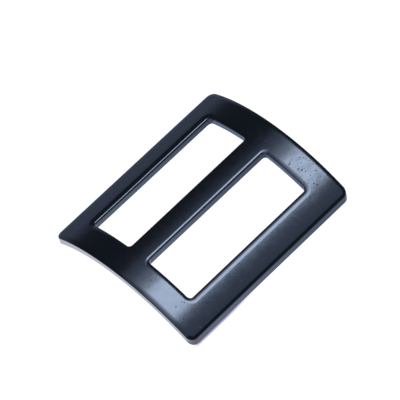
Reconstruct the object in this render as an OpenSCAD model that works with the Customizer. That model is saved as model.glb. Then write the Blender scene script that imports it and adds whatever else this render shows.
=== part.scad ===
// Curved slide buckle: one arched casting with two strap slots and a bar between them.
// X runs across the bars, Y along them and Z up. The origin is on the floor under the middle.
// The arch bends about an axis along Y, and every wall is upright, the way the mould draws.

/* [Strap slots] */
// Length of each slot along the bars, which is the webbing's width and its play
slot_length = 25.8; // [14:0.1:60]
// Width of each slot across the bars
slot_width = 8.6; // [5:0.1:14]
// Radius of the slot corners, seen from above
slot_corner_r = 0.6; // [0.3:0.05:2]

/* [Bars] */
// Width of the bar between the slots
centre_bar_w = 4; // [2.5:0.1:8]
// Width of the bar on the far side of each slot
side_bar_w = 4.6; // [3:0.1:9]
// Width of the bar across each end of the slots
end_bar_w = 4.65; // [3:0.05:9]
// Radius of the outer corners, seen from above
outer_corner_r = 1.2; // [0.4:0.1:3]

/* [Arch] */
// Height of the underside over the floor, in the middle
arch_rise = 4.65; // [1.5:0.05:8]
// Thickness of the casting, square to the arch
thickness = 1.7; // [1.3:0.1:4]
// Radius that rounds every upper edge
upper_edge_r = 0.5; // [0.3:0.05:0.8]
// Radius that rounds every lower edge
lower_edge_r = 0.3; // [0.1:0.05:0.4]

/* [Hidden] */
$fn = 96;

// Walls of the slot at positive X, and half of the buckle's size across the bars and along them
inner_wall = centre_bar_w / 2;
outer_wall = inner_wall + slot_width;
half_width = outer_wall + side_bar_w;
half_length = slot_length / 2 + end_bar_w;

// Radius of the underside about the bend axis, at which the lower edges of the long sides reach
// the floor with their rounds
foot_x = half_width - lower_edge_r;
under_r = (foot_x * foot_x + arch_rise * arch_rise) / (2 * arch_rise) - lower_edge_r;
bend_axis_z = arch_rise - under_r;

// Radii about the bend axis: the upper face, and the centres of the upper and the lower rounds
upper_r = under_r + thickness;
upper_round_r = upper_r - upper_edge_r;
lower_round_r = under_r + lower_edge_r;

// How many times further out a cutter's open end lies than the metal that it cuts
clear = 1.5;
far = clear * upper_r;

// Centre of an edge's round at the wall at x = wall, where side is the metal's side of the wall
function round_centre(wall, side, round_r, edge_r) =
    let (x = wall + side * edge_r)
    [x, sqrt(round_r * round_r - x * x)];

// Makes a prism along the bars from a section drawn across them, about the bend axis
module along_bars(length) {
    translate([0, 0, bend_axis_z])
        rotate([90, 0, 0])
            linear_extrude(height = length, center = true)
                children();
}

// Makes a ring about the bend axis from a section drawn with its radius and its place along the bars
module about_bend_axis() {
    translate([0, 0, bend_axis_z])
        rotate([90, 0, 0])
            rotate_extrude()
                children();
}

// Makes upright walls through the whole height from an outline drawn from above
module upright() {
    translate([0, 0, -thickness])
        linear_extrude(height = arch_rise + 3 * thickness)
            children();
}

// Rectangle about the origin with round corners
module round_rectangle(width, length, corner_r) {
    square([width - 2 * corner_r, length], center = true);
    square([width, length - 2 * corner_r], center = true);
    for (x = [-1, 1], y = [-1, 1])
        translate([x * (width / 2 - corner_r), y * (length / 2 - corner_r)])
            circle(corner_r);
}

// Section of the arch across the bars, before the sides are trimmed
module arch_section() {
    difference() {
        circle(upper_r);
        circle(under_r);
        translate([-far, -far])
            square([2 * far, far]);
    }
}

// What comes off an edge of one long side to round it, as a section across the bars. Here and in
// the modules below, a cut runs on past the metal to reach times round_r, the distance of the
// rounds' centres from the bend axis: reach is over 1 at the upper edges and under 1 at the lower.
module side_offcut(side, round_r, edge_r, reach) {
    centre = round_centre(side * half_width, -side, round_r, edge_r);
    difference() {
        polygon([
            centre,
            [side * far, centre[1]],
            [side * far, reach * centre[1]],
            reach * centre
        ]);
        translate(centre)
            circle(edge_r);
    }
}

// What comes off an edge of one end to round it, as a section along the bars
module end_offcut(end, round_r, edge_r, reach) {
    translate([round_r, end * (half_length - edge_r)])
        difference() {
            mirror([0, end < 0 ? 1 : 0])
                translate([min(0, reach - 1) * round_r, 0])
                    square([abs(reach - 1) * round_r, clear * edge_r]);
            circle(edge_r);
        }
}

// What comes off all round the plate, at its upper or its lower edges
module offcuts(round_r, edge_r, reach) {
    for (side = [-1, 1])
        along_bars(2 * clear * half_length)
            side_offcut(side, round_r, edge_r, reach);
    for (end = [-1, 1])
        about_bend_axis()
            end_offcut(end, round_r, edge_r, reach);
}

// The arched plate before its slots are cut
module plate() {
    difference() {
        intersection() {
            along_bars(2 * clear * half_length)
                arch_section();
            upright()
                round_rectangle(2 * half_width, 2 * half_length, outer_corner_r);
        }
        offcuts(upper_round_r, upper_edge_r, clear);
        offcuts(lower_round_r, lower_edge_r, 1 / clear);
    }
}

// Mouth of a slot across the bars: both walls flare out into the face over the edge rounds
module mouth_section(round_r, edge_r, reach) {
    inner_centre = round_centre(inner_wall, -1, round_r, edge_r);
    outer_centre = round_centre(outer_wall, 1, round_r, edge_r);
    difference() {
        polygon([
            inner_centre,
            [inner_wall, inner_centre[1]],
            [outer_wall, outer_centre[1]],
            outer_centre,
            reach * outer_centre,
            reach * inner_centre
        ]);
        for (centre = [inner_centre, outer_centre])
            translate(centre)
                circle(edge_r);
    }
}

// Mouth of a slot along the bars: the same flare at both of its ends
module mouth_end_section(round_r, edge_r, reach) {
    flare = slot_length / 2 + edge_r;
    difference() {
        translate([min(1, reach) * round_r, -flare])
            square([abs(reach - 1) * round_r, 2 * flare]);
        for (end = [-1, 1])
            translate([round_r, end * flare])
                circle(edge_r);
    }
}

// Mouth of a slot in the upper face or in the underside
module mouth(round_r, edge_r, reach) {
    intersection() {
        along_bars(clear * (slot_length + 2 * edge_r))
            mouth_section(round_r, edge_r, reach);
        about_bend_axis()
            mouth_end_section(round_r, edge_r, reach);
    }
}

// What is cut away for the slot at positive X: an upright hole, and its two mouths
module slot() {
    translate([(inner_wall + outer_wall) / 2, 0, 0])
        upright()
            round_rectangle(slot_width, slot_length, slot_corner_r);
    mouth(upper_round_r, upper_edge_r, clear);
    mouth(lower_round_r, lower_edge_r, 1 / clear);
}

module slide_frame() {
    color([0.13, 0.14, 0.17])
        difference() {
            plate();
            slot();
            mirror([1, 0, 0])
                slot();
        }
}

slide_frame();
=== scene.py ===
from math import atan2, cos, pi, radians, sin, sqrt

import bpy
from mathutils import Matrix, Vector


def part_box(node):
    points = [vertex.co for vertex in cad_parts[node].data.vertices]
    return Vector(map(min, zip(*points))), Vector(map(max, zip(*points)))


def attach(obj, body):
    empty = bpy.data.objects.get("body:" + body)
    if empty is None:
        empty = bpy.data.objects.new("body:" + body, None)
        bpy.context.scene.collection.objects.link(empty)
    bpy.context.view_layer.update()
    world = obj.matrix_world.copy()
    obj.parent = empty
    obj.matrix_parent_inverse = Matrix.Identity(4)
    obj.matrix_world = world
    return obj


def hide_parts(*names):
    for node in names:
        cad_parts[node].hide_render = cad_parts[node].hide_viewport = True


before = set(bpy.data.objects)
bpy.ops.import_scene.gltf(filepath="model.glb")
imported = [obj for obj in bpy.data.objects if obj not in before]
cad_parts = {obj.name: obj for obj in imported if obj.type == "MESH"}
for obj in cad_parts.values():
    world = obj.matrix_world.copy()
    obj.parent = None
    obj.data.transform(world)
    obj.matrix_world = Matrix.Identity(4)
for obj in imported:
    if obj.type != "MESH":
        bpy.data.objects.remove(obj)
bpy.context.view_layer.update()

# The frame of the buckle: one casting of zinc alloy, arched across its bars, with two strap slots.
# The mould draws upward, so every wall is upright. The upper edges are worn into wide, shallow
# rounds, as tumbling leaves them, and the lower ones have small even rounds.
highest_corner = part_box("slide_frame")[1]
half_width = highest_corner.x
half_length = highest_corner.y
thickness = 0.0017
arch_rise = highest_corner.z - thickness
centre_bar_w = 0.004
side_bar_w = 0.0046
end_bar_w = 0.00465
slot_corner_r = 0.0006
outer_corner_r = 0.0012
lower_edge_r = 0.0003

# How the upper edges are worn: each turns down first with a wide radius and then with a narrow one,
# and these are the two radii at each kind of edge
wide_turn = radians(26)
end_wear = Vector((0.0019, 0.00015))
side_wear = Vector((0.0013, 0.00015))
slot_end_wear = Vector((0.0018, 0.0002))
slot_outer_wear = Vector((0.002, 0.00035))
slot_inner_wear = Vector((0.0008, 0.0003))

foot_x = half_width - lower_edge_r
under_r = (foot_x ** 2 + arch_rise ** 2) / (2 * arch_rise) - lower_edge_r
upper_r = under_r + thickness
bend_axis_z = arch_rise - under_r
inner_wall = centre_bar_w / 2
outer_wall = half_width - side_bar_w
slot_end = half_length - end_bar_w

# How finely the surfaces are divided
wide_steps = 8
narrow_steps = 10
lower_round_steps = 6
face_steps = 8
bar_steps = 18
end_steps = 12
corner_steps = 12

ahead = Vector((0, 1, 0))
aside = Vector((1, 0, 0))
upward = Vector((0, 0, 1))


def on_arch(plan, radius):
    """Point of an arched face over a point of the plan, and which way the face looks there."""
    rise = sqrt(radius ** 2 - plan.x ** 2)
    return Vector((plan.x, plan.y, bend_axis_z + rise)), Vector((plan.x, 0, rise)) / radius


def upper_face(plan):
    return on_arch(plan, upper_r)


def under_face(plan):
    point, normal = on_arch(plan, under_r)
    return point, -normal


# How far in the round of an edge starts depends on the tilt of the face there, and that tilt depends
# on how far in it is, so the two are worked out in turn, this many times, until they agree closely
settling_rounds = 4


def edge(foot, outward, wear):
    """Section of an edge, from the upper face over its worn round and its wall to the underside."""
    wide_r, narrow_r = wear
    reach = 0
    for attempt in range(settling_rounds):
        start, up = upper_face(foot - reach * outward)
        face_tilt = atan2(up.dot(outward), up.z)
        worn_tilt = face_tilt + wide_turn
        reach = wide_r * (sin(worn_tilt) - sin(face_tilt)) + narrow_r * (1 - sin(worn_tilt))

    # The upper face may slope along the wall too, and the normals of the round lean with it
    along = Vector((-outward.y, outward.x, 0))
    lean = upward + up.dot(along) / up.z * along

    def spoke(tilt, top=upward):
        """Way that points out of the round at a tilt, between the top and the way out of the wall."""
        return sin(tilt) * outward + cos(tilt) * top

    def arc(centre, radius, first_tilt, last_tilt, steps):
        for step in range(steps + 1):
            tilt = first_tilt + (last_tilt - first_tilt) * step / steps
            yield centre + radius * spoke(tilt), spoke(tilt, lean).normalized()

    wide_centre = start - wide_r * spoke(face_tilt)
    narrow_centre = wide_centre + (wide_r - narrow_r) * spoke(worn_tilt)
    section = list(arc(wide_centre, wide_r, face_tilt, worn_tilt, wide_steps))[:-1]
    section += arc(narrow_centre, narrow_r, worn_tilt, pi / 2, narrow_steps)

    lower_centre, down = on_arch(foot - lower_edge_r * outward, under_r + lower_edge_r)
    for step in range(lower_round_steps + 1):
        normal = outward.slerp(-down, step / lower_round_steps)
        section.append((lower_centre + lower_edge_r * normal, normal))
    return section


def across(face, start, end):
    """Section of a face between two places in plan, both left out."""
    return [face(start.lerp(end, step / face_steps)) for step in range(1, face_steps)]


def wall(start, end, outward, wear, steps):
    """Feet of a straight wall in plan, with the way that it looks and its wear, the last left out."""
    return [(start.lerp(end, step / steps), outward, wear) for step in range(steps)]


def bend(centre, radius, first_turn, side, first_wear, last_wear):
    """Feet of a quarter round in plan, clockwise, which looks away from its centre where side is 1."""
    feet = []
    for step in range(corner_steps):
        share = step / corner_steps
        angle = pi / 2 * (first_turn - share)
        direction = Vector((cos(angle), sin(angle), 0))
        wear = first_wear.lerp(last_wear, share ** 2 * (3 - 2 * share))
        feet.append((centre + radius * direction, side * direction, wear))
    return feet


def spot(x, y):
    return x * aside + y * ahead


# A quarter of the plan: feet round the slot's wall, and beside each one its partner on the middle
# line of the centre bar, where nothing faces out, or else on the outer wall
slot_left = inner_wall + slot_corner_r
slot_right = outer_wall - slot_corner_r
slot_top = slot_end - slot_corner_r
frame_right = half_width - outer_corner_r
frame_top = half_length - outer_corner_r
slot_feet = (
    wall(spot(inner_wall, 0), spot(inner_wall, slot_top), aside, slot_inner_wear, bar_steps)
    + bend(spot(slot_left, slot_top), slot_corner_r, 2, -1, slot_inner_wear, slot_end_wear)
    + wall(spot(slot_left, slot_end), spot(slot_right, slot_end), -ahead, slot_end_wear, end_steps)
    + bend(spot(slot_right, slot_top), slot_corner_r, 1, -1, slot_end_wear, slot_outer_wear)
    + wall(spot(outer_wall, slot_top), spot(outer_wall, 0), -aside, slot_outer_wear, bar_steps)
    + [(spot(outer_wall, 0), -aside, slot_outer_wear)]
)
worn_end = edge(spot(0, half_length), ahead, end_wear)[0][0]
frame_feet = (
    wall(spot(0, 0), spot(0, slot_top), None, None, bar_steps)
    + wall(spot(0, slot_top), spot(0, worn_end.y), None, None, corner_steps // 2)
    + wall(spot(0, half_length), spot(slot_left, half_length), ahead, end_wear, corner_steps // 2)
    + wall(spot(slot_left, half_length), spot(frame_right, half_length), ahead, end_wear, end_steps)
    + bend(spot(frame_right, frame_top), outer_corner_r, 1, 1, end_wear, side_wear)
    + wall(spot(half_width, frame_top), spot(half_width, 0), aside, side_wear, bar_steps)
    + [(spot(half_width, 0), aside, side_wear)]
)

points = []
normals = []
quads = []
numbers = {}

# Points that fall in the same cell of this fine grid are one vertex
cells_per_metre = 1e8


def weld(point, normal):
    """Number of the vertex at a point, the same for every strip that meets there."""
    cell = tuple(round(value * cells_per_metre) for value in point)
    if cell not in numbers:
        numbers[cell] = len(points)
        points.append(point)
        normals.append(normal)
    return numbers[cell]


def skin(sections):
    """Lays quads between neighbouring sections, in all four quarters of the frame."""
    for side in (Vector((1, 1, 1)), Vector((-1, 1, 1)), Vector((-1, -1, 1)), Vector((1, -1, 1))):
        grid = [[weld(side * point, side * normal) for point, normal in section] for section in sections]
        for left, right in zip(grid, grid[1:]):
            for a, b, c, d in zip(left, left[1:], right[1:], right):
                quads.append((a, b, c, d) if side.x * side.y > 0 else (d, c, b, a))


outer_sections = []
inner_sections = []
for slot_foot, (frame_foot, frame_outward, frame_wear) in zip(slot_feet, frame_feet):
    slot_section = edge(*slot_foot)
    if frame_outward is None:
        start = upper_face(frame_foot)
        end = under_face(frame_foot)
    else:
        frame_section = edge(frame_foot, frame_outward, frame_wear)
        outer_sections.append(frame_section[::-1])
        start = frame_section[0]
        end = frame_section[-1]
    inner_sections.append(
        [start]
        + across(upper_face, start[0], slot_section[0][0])
        + slot_section
        + across(under_face, slot_section[-1][0], end[0])
        + [end]
    )
skin(inner_sections)
skin(outer_sections)

frame_mesh = bpy.data.meshes.new("buckle_frame")
frame_mesh.from_pydata(points, [], quads, shade_flat=False)
frame_mesh.normals_split_custom_set_from_vertices(normals)
buckle_frame = bpy.data.objects.new("buckle_frame", frame_mesh)
bpy.context.scene.collection.objects.link(buckle_frame)


# The paint: baked on over the tumbled casting, and nearly black itself, so what it shows is what it
# mirrors, through a faint orange peel. It lies over pits and nicks, is coarse in three patches and is
# chipped in two places.
class Shade:
    """Wraps a node's output, so that a finish is written as sums and products of others."""

    def __init__(self, tree, socket=None):
        self.tree = tree
        self.socket = socket

    def node(self, kind, settings, inputs, output=0):
        node = self.tree.nodes.new(kind)
        for name, value in settings.items():
            setattr(node, name, value)
        for name, value in inputs.items():
            if isinstance(value, Shade):
                self.tree.links.new(value.socket, node.inputs[name])
            else:
                node.inputs[name].default_value = value
        return Shade(self.tree, node.outputs[output] if node.outputs else None)

    def math(self, operation, *values):
        return self.node("ShaderNodeMath", {"operation": operation}, dict(enumerate(values)))

    def __add__(self, other):
        return self.math("ADD", self, other)

    def __radd__(self, other):
        return self.math("ADD", other, self)

    def __sub__(self, other):
        return self.math("SUBTRACT", self, other)

    def __rsub__(self, other):
        return self.math("SUBTRACT", other, self)

    def __mul__(self, other):
        return self.math("MULTIPLY", self, other)

    def __rmul__(self, other):
        return self.math("MULTIPLY", other, self)

    def larger(self, other):
        return self.math("MAXIMUM", self, other)

    def smaller(self, other):
        return self.math("MINIMUM", self, other)


def bare_shade(owner):
    """Clears the nodes of a material or of the world, and wraps its tree for new ones."""
    owner.use_nodes = True
    owner.node_tree.nodes.clear()
    return Shade(owner.node_tree)


def fade(value, start, end):
    """Runs smoothly from 0 to 1 as the value runs from start to end."""
    return value.node("ShaderNodeMapRange", {"interpolation_type": "SMOOTHSTEP"}, {
        "Value": value,
        "From Min": start,
        "From Max": end,
    })


def blend(share, first, last):
    """Mixes two colours, all of the last one where the share is 1."""
    return share.node("ShaderNodeMix", {"data_type": "RGBA"}, {"Factor": share, 6: first, 7: last}, 2)


def place_on(surface):
    """Place on a surface, in metres from the buckle's origin."""
    return surface.node("ShaderNodeTexCoord", {}, {}, "Object")


def along_axis(place, axis):
    return place.node("ShaderNodeSeparateXYZ", {}, {"Vector": place}, axis)


def noise(place, scale, detail):
    """Soft random pattern with about as many patches to the metre as its scale."""
    inputs = {"Vector": place, "Scale": scale, "Detail": detail}
    return place.node("ShaderNodeTexNoise", {}, inputs, "Fac")


def drawn_out(place, shares):
    """Scales a place on each axis, so that a pattern is drawn out where the share is small."""
    return place.node("ShaderNodeVectorMath", {"operation": "MULTIPLY"}, {0: place, 1: shares})


# Where a pit and a mark start to fade and where they end: a pit in widths of a cell of its pattern,
# and a mark in shares of its own half width
pit_fade = (0.1, 0.28)
mark_fade = (0.5, 1.1)

# The lists of marks are in millimetres
mm_per_metre = 1000


def pits(place, shares, scale, rarity):
    """Share of pit at a place: a speck in the cells of a random pattern, in fewer if they are rare."""
    cells = {"Vector": drawn_out(place, shares), "Scale": scale}
    distance = place.node("ShaderNodeTexVoronoi", {}, cells, "Distance")
    colour = place.node("ShaderNodeTexVoronoi", {}, cells, "Color")
    lot = place.node("ShaderNodeSeparateColor", {}, {"Color": colour}, "Red")
    return (1 - fade(distance, *pit_fade)) * fade(lot, rarity, rarity + 0.5)


def marks(place, spots):
    """Share of mark at a place, from a list of each one's middle, half width and half length."""
    nearest = None
    for x, y, half_wide, half_long in spots:
        middle = (x / mm_per_metre, y / mm_per_metre, 0)
        spread = (mm_per_metre / half_wide, mm_per_metre / half_long, 0)
        offset = place.node("ShaderNodeVectorMath", {"operation": "SUBTRACT"}, {0: place, 1: middle})
        scaled = place.node("ShaderNodeVectorMath", {"operation": "MULTIPLY"}, {0: offset, 1: spread})
        far = place.node("ShaderNodeVectorMath", {"operation": "LENGTH"}, {0: scaled}, "Value")
        nearest = far if nearest is None else nearest.smaller(far)
    return 1 - fade(nearest, *mark_fade)


# Nicks in the casting, which the paint runs into, chips in the paint, and patches where the casting
# is coarse: the middle of each in plan from above, its half width across the bars and its half
# length along them, in millimetres
nicks = [
    (6.4, 13.95, 0.1, 0.33),
    (7.85, 14.35, 0.1, 0.2),
    (8.4, 14.6, 0.11, 0.4),
    (8.1, 14.15, 0.07, 0.15),
    (8.9, 14.85, 0.11, 0.15),
    (9.9, 16.1, 0.1, 0.18),
    (11.05, 14.35, 0.12, 0.18),
    (11.5, 14.6, 0.12, 0.2),
    (6.75, 15.9, 0.1, 0.14),
    (7.15, 16.2, 0.08, 0.12),
    (7.55, 16.4, 0.1, 0.14),
    (8.15, 16.65, 0.1, 0.12),
    (10.3, -14.15, 0.1, 0.12),
    (10.6, -13.95, 0.1, 0.12),
    (12.45, -11.9, 0.11, 0.16),
    (10.25, -15.35, 0.1, 0.16),
    (12.25, -15.8, 0.12, 0.18),
    (4.7, -14.9, 0.11, 0.18),
]
chips = [
    (0.9, 14.5, 0.14, 0.08),
    (14.5, -14.85, 0.08, 0.11),
]
coarse_patches = [
    (8.8, 15.2, 4.4, 3),
    (4.9, -15, 1.7, 2),
    (12.2, 12.2, 1.4, 2.2),
]

near_black = (0.001, 0.0011, 0.0014, 1)
chip_grey = (0.05, 0.055, 0.065, 1)
pit_black = (0.006, 0.007, 0.01, 1)
relief_depth = 0.000006

paint = bpy.data.materials.new("black_paint")
coat = bare_shade(paint)
place = place_on(coat)
peel = noise(place, scale=900, detail=1)
grit = noise(place, scale=3600, detail=2)
streaks = noise(drawn_out(place, (1, 0.35, 1)), scale=2000, detail=2)
coarse = marks(place, coarse_patches)
dense_pits = pits(place, shares=(1, 0.5, 1), scale=2900, rarity=0.1)
stray_pits = pits(place, shares=(1, 0.6, 1), scale=2300, rarity=0.5)
here_and_there = fade(noise(place, scale=200, detail=1), 0.5, 0.7)
pitted = dense_pits * coarse + 0.4 * stray_pits * here_and_there
sunk = (0.8 * pitted).larger(marks(place, nicks))
relief = 0.4 * peel + 0.02 * grit + (0.05 + 1.2 * coarse) * streaks - 0.5 * sunk
bump = coat.node("ShaderNodeBump", {}, {"Height": relief, "Distance": relief_depth, "Strength": 1})
gloss = coat.node("ShaderNodeBsdfPrincipled", {}, {
    "Base Color": blend(marks(place, chips), near_black, chip_grey),
    "Roughness": 0.14 + 0.08 * peel + 0.02 * grit + 0.06 * coarse * streaks,
    "IOR": 1.5,
    "Normal": bump,
})
pit_bottom = coat.node("ShaderNodeBsdfPrincipled", {}, {
    "Base Color": pit_black,
    "Roughness": 0.8,
    "IOR": 1.3,
    "Normal": bump,
})
haze = coarse * fade(streaks, 0.4, 0.7)
dullness = (0.9 * sunk).larger(0.16 * haze)
surface = coat.node("ShaderNodeMixShader", {}, {0: dullness, 1: gloss, 2: pit_bottom})
coat.node("ShaderNodeOutputMaterial", {}, {"Surface": surface})
frame_mesh.materials.append(paint)
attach(buckle_frame, "root")
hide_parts("slide_frame")

# The table: a sheet so brightly lit that it shows as plain white, with a trace of shadow beside the
# near right foot. The gloss shows it lit best in front, dimming to the back and to the left, so the
# white that the camera sees and the light that the gloss sees are laid as two equal sheets.
table_side = 2.0
table_corners = [(-1, -1, 0), (1, -1, 0), (1, 1, 0), (-1, 1, 0)]
table_mesh = bpy.data.meshes.new("table")
table_points = [table_side / 2 * Vector(corner) for corner in table_corners]
table_mesh.from_pydata(table_points, [], [(0, 1, 2, 3)])


def lay_sheet(name, material):
    sheet = bpy.data.objects.new(name, table_mesh.copy())
    sheet.data.materials.append(material)
    bpy.context.scene.collection.objects.link(sheet)
    return sheet


# The trace of shadow, and where it fades in and out, from left to right and from front to back
plain_white = (1, 1, 1, 1)
shadow_tint = (0.3, 0.28, 0.45, 1)
shadow_left = (0.0145, 0.0149)
shadow_right = (0.0151, 0.0156)
shadow_front = (-0.0175, -0.016)
shadow_back = (-0.011, -0.002)
white = bpy.data.materials.new("white_sheet")
seen = bare_shade(white)
seen_x = along_axis(place_on(seen), "X")
seen_y = along_axis(place_on(seen), "Y")
beside_foot = fade(seen_x, *shadow_left) * (1 - fade(seen_x, *shadow_right))
along_foot = fade(seen_y, *shadow_front) * (1 - fade(seen_y, *shadow_back))
shaded = blend(beside_foot * along_foot, plain_white, shadow_tint)
blank = seen.node("ShaderNodeEmission", {}, {"Color": shaded, "Strength": 1.1})
seen.node("ShaderNodeOutputMaterial", {}, {"Surface": blank})
white_sheet = lay_sheet("white_sheet", white)
white_sheet.visible_diffuse = False
white_sheet.visible_glossy = False
white_sheet.visible_shadow = False

# What the paint mirrors of the table: in front of the buckle, under its front half and its back
# half, on its left, and further off all round, with the stretches where one gives way to the next
front_glow = (2.0, 2.0, 2.3, 1)
front_edge = (-0.0195, -0.0155)
near_glow = (0.95, 1.1, 1.55, 1)
far_glow = (0.55, 0.68, 1.05, 1)
near_to_far = (-0.01, 0.014)
left_glow = (0.2, 0.25, 0.4, 1)
left_edge = (-0.019, -0.015)
outer_glow = (0.1, 0.13, 0.2, 1)
outer_edge = (0.045, 0.055)
lit = bpy.data.materials.new("lit_sheet")
mirrored = bare_shade(lit)
lit_place = place_on(mirrored)
lit_x = along_axis(lit_place, "X")
lit_y = along_axis(lit_place, "Y")
away = mirrored.node("ShaderNodeVectorMath", {"operation": "LENGTH"}, {0: lit_place}, "Value")
under_glow = blend(fade(lit_y, *near_to_far), near_glow, far_glow)
right_glow = blend(fade(lit_y, *front_edge), front_glow, under_glow)
inner_glow = blend(fade(lit_x, *left_edge), left_glow, right_glow)
glow = blend(fade(away, *outer_edge), inner_glow, outer_glow)
board = mirrored.node("ShaderNodeBsdfPrincipled", {}, {
    "Base Color": (0.1, 0.1, 0.1, 1),
    "Roughness": 0.9,
    "Emission Color": glow,
    "Emission Strength": 1,
})
mirrored.node("ShaderNodeOutputMaterial", {}, {"Surface": board})
lit_sheet = lay_sheet("lit_sheet", lit)
lit_sheet.visible_camera = False


# The light: a softbox overhead that dims towards the front, a faint fringe beside it and a wide, weak
# skirt round it, all bluish, and a dim room that is lighter near the horizon.
def lamp(name, colour, place, width, length, radiance):
    light = bpy.data.lights.new(name, "AREA")
    light.shape = "RECTANGLE"
    light.size = width
    light.size_y = length
    light.color = colour
    light.energy = radiance * pi * width * length
    holder = bpy.data.objects.new(name, light)
    holder.location = place
    bpy.context.scene.collection.objects.link(holder)


softbox_blue = (0.61, 0.75, 1.0)
softbox_x = 0.075
softbox_z = 0.57
softbox_width = 0.29

# The softbox in strips from the rear to the front: the front and rear edge of each, and its radiance
softbox_strips = [
    (0.11, 0.36, 14.6),
    (0.03, 0.11, 9.5),
    (-0.08, 0.03, 5.5),
    (-0.22, -0.08, 2.7),
    (-0.5, -0.22, 1),
]
for front, rear, radiance in softbox_strips:
    middle = (softbox_x, (front + rear) / 2, softbox_z)
    lamp("softbox", softbox_blue, middle, softbox_width, rear - front, radiance)
lamp("softbox_fringe", softbox_blue, (-0.12, 0.14, softbox_z), width=0.1, length=0.44, radiance=2)
skirt_blue = (0.45, 0.6, 1.0)
lamp("skirt", skirt_blue, (0.1, -0.1, 0.6), width=0.8, length=1.2, radiance=1.1)

horizon_blue = (0.36, 0.45, 0.7, 1)
ceiling_blue = (0.09, 0.115, 0.17, 1)
world = bpy.data.worlds.new("room")
bpy.context.scene.world = world
room = bare_shade(world)
direction = room.node("ShaderNodeTexCoord", {}, {}, "Generated")
walls = blend(fade(along_axis(direction, "Z"), 0.08, 0.3), horizon_blue, ceiling_blue)
air = room.node("ShaderNodeBackground", {}, {"Color": walls})
room.node("ShaderNodeOutputWorld", {}, {"Surface": air})

# The camera: a long lens looks down on the buckle from one corner, so its edges stay nearly
# parallel. It is turned about its own axis too, and the buckle lies across the picture.
view_azimuth = radians(58.05)
view_elevation = radians(55.58)
view_roll = radians(-15.98)
view_distance = 0.50324
view_aim = Vector((-0.00029, 0.00063, 0.00485))
lens_mm = 292.48
film_mm = 36

level_right = Vector((cos(view_azimuth), sin(view_azimuth), 0))
to_camera = Vector((
    sin(view_azimuth) * cos(view_elevation),
    -cos(view_azimuth) * cos(view_elevation),
    sin(view_elevation),
))
level_up = to_camera.cross(level_right)
picture_right = cos(view_roll) * level_right + sin(view_roll) * level_up
picture_up = to_camera.cross(picture_right)

camera = bpy.data.objects.new("camera", bpy.data.cameras.new("camera"))
camera.data.sensor_width = film_mm
camera.data.lens = lens_mm
turn = Matrix((picture_right, picture_up, to_camera)).transposed().to_4x4()
camera.matrix_world = Matrix.Translation(view_aim + view_distance * to_camera) @ turn
bpy.context.scene.collection.objects.link(camera)
bpy.context.scene.camera = camera
bpy.context.scene.view_settings.view_transform = "Standard"

bpy.context.view_layer.update()
